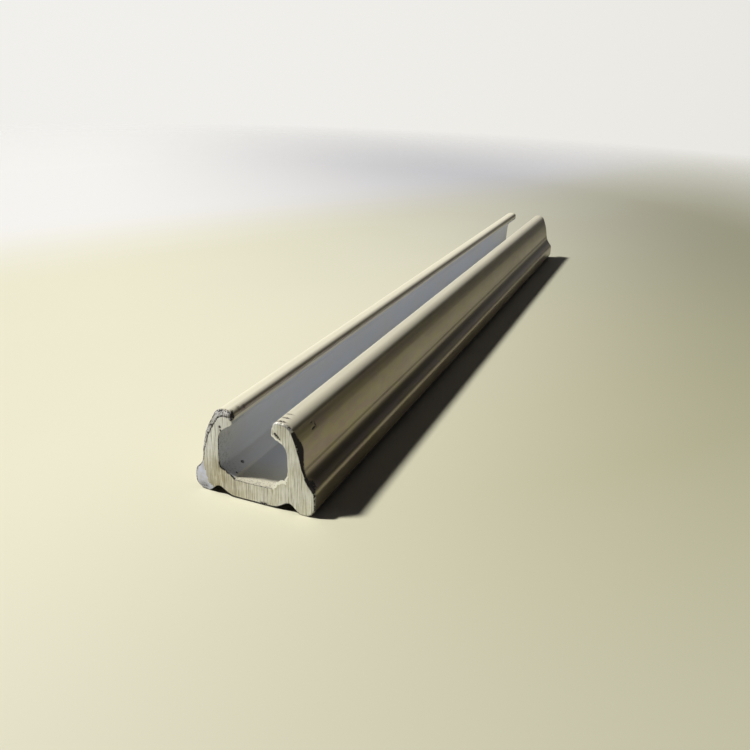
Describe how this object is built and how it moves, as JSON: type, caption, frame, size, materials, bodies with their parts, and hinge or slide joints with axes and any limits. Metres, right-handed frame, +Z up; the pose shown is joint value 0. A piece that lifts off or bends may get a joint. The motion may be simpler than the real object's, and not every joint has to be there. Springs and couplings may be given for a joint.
{
  "type": "aluminium extrusion profile",
  "caption": "Short sawn length of small C-shaped aluminium channel rail with curled lips, a slot on top and two flared feet.",
  "frame": {"origin": "on the floor under the middle of the rail, centre of the bounding box's bottom", "axes": "+Y along the rail, away from the filed end; +X to the right seen from the filed end; +Z up, out of the slot"},
  "size_m": [0.0202, 0.18, 0.014],
  "materials": {
    "anodised_aluminium": "satin"
  },
  "bodies": {
    "root": {"channel_rail": "anodised_aluminium"}
  },
  "joints": []
}
